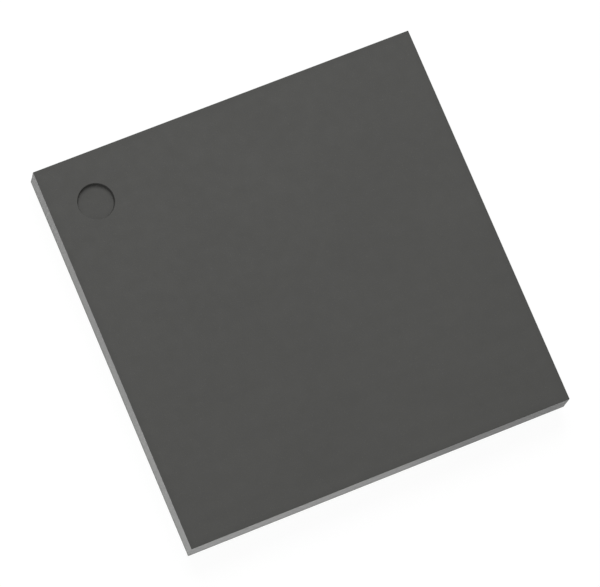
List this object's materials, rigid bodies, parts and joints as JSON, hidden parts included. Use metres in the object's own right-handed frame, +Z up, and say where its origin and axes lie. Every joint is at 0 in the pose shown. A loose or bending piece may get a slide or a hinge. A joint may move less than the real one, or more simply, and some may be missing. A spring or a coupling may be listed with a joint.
{
  "type": "ball grid array chip",
  "caption": "Square moulded chip that stands on a full grid of solder balls, with a wire-bonded die inside and a round pin one mark on top.",
  "frame": {"origin": "middle of the plane that the tips of the solder balls stand on", "axes": "+Z up through the moulded top; the pin one mark and ball A1 are at the -X +Y corner; rows run towards -Y and columns towards +X"},
  "size_m": [0.013, 0.013, 0.0016],
  "materials": {
    "mold_compound": "matte",
    "silicon": "ground",
    "adhesive_film": "satin",
    "gold_wire": "polished",
    "plated_copper": "satin",
    "solder_mask": "semi-gloss",
    "laminate": "sawn",
    "copper": "plain",
    "plug_resin": "matte",
    "solder": "satin"
  },
  "bodies": {
    "root": {"mold_cap": "mold_compound", "silicon_die": "silicon", "die_attach_film": "adhesive_film", "bond_wires_north": "gold_wire", "bond_wires_east": "gold_wire", "bond_wires_south": "gold_wire", "bond_wires_west": "gold_wire", "bond_fingers_north": "plated_copper", "bond_fingers_east": "plated_copper", "bond_fingers_south": "plated_copper", "bond_fingers_west": "plated_copper", "top_solder_mask": "solder_mask", "laminate_core": "laminate", "via_barrels": "copper", "via_plugs": "plug_resin", "ball_lands": "copper", "a1_corner_mark": "plated_copper", "bottom_solder_mask": "solder_mask", "ball_row_a": "solder", "ball_row_b": "solder", "ball_row_c": "solder", "ball_row_d": "solder", "ball_row_e": "solder", "ball_row_f": "solder", "ball_row_g": "solder", "ball_row_h": "solder", "ball_row_j": "solder", "ball_row_k": "solder", "ball_row_l": "solder", "ball_row_m": "solder"}
  },
  "joints": []
}
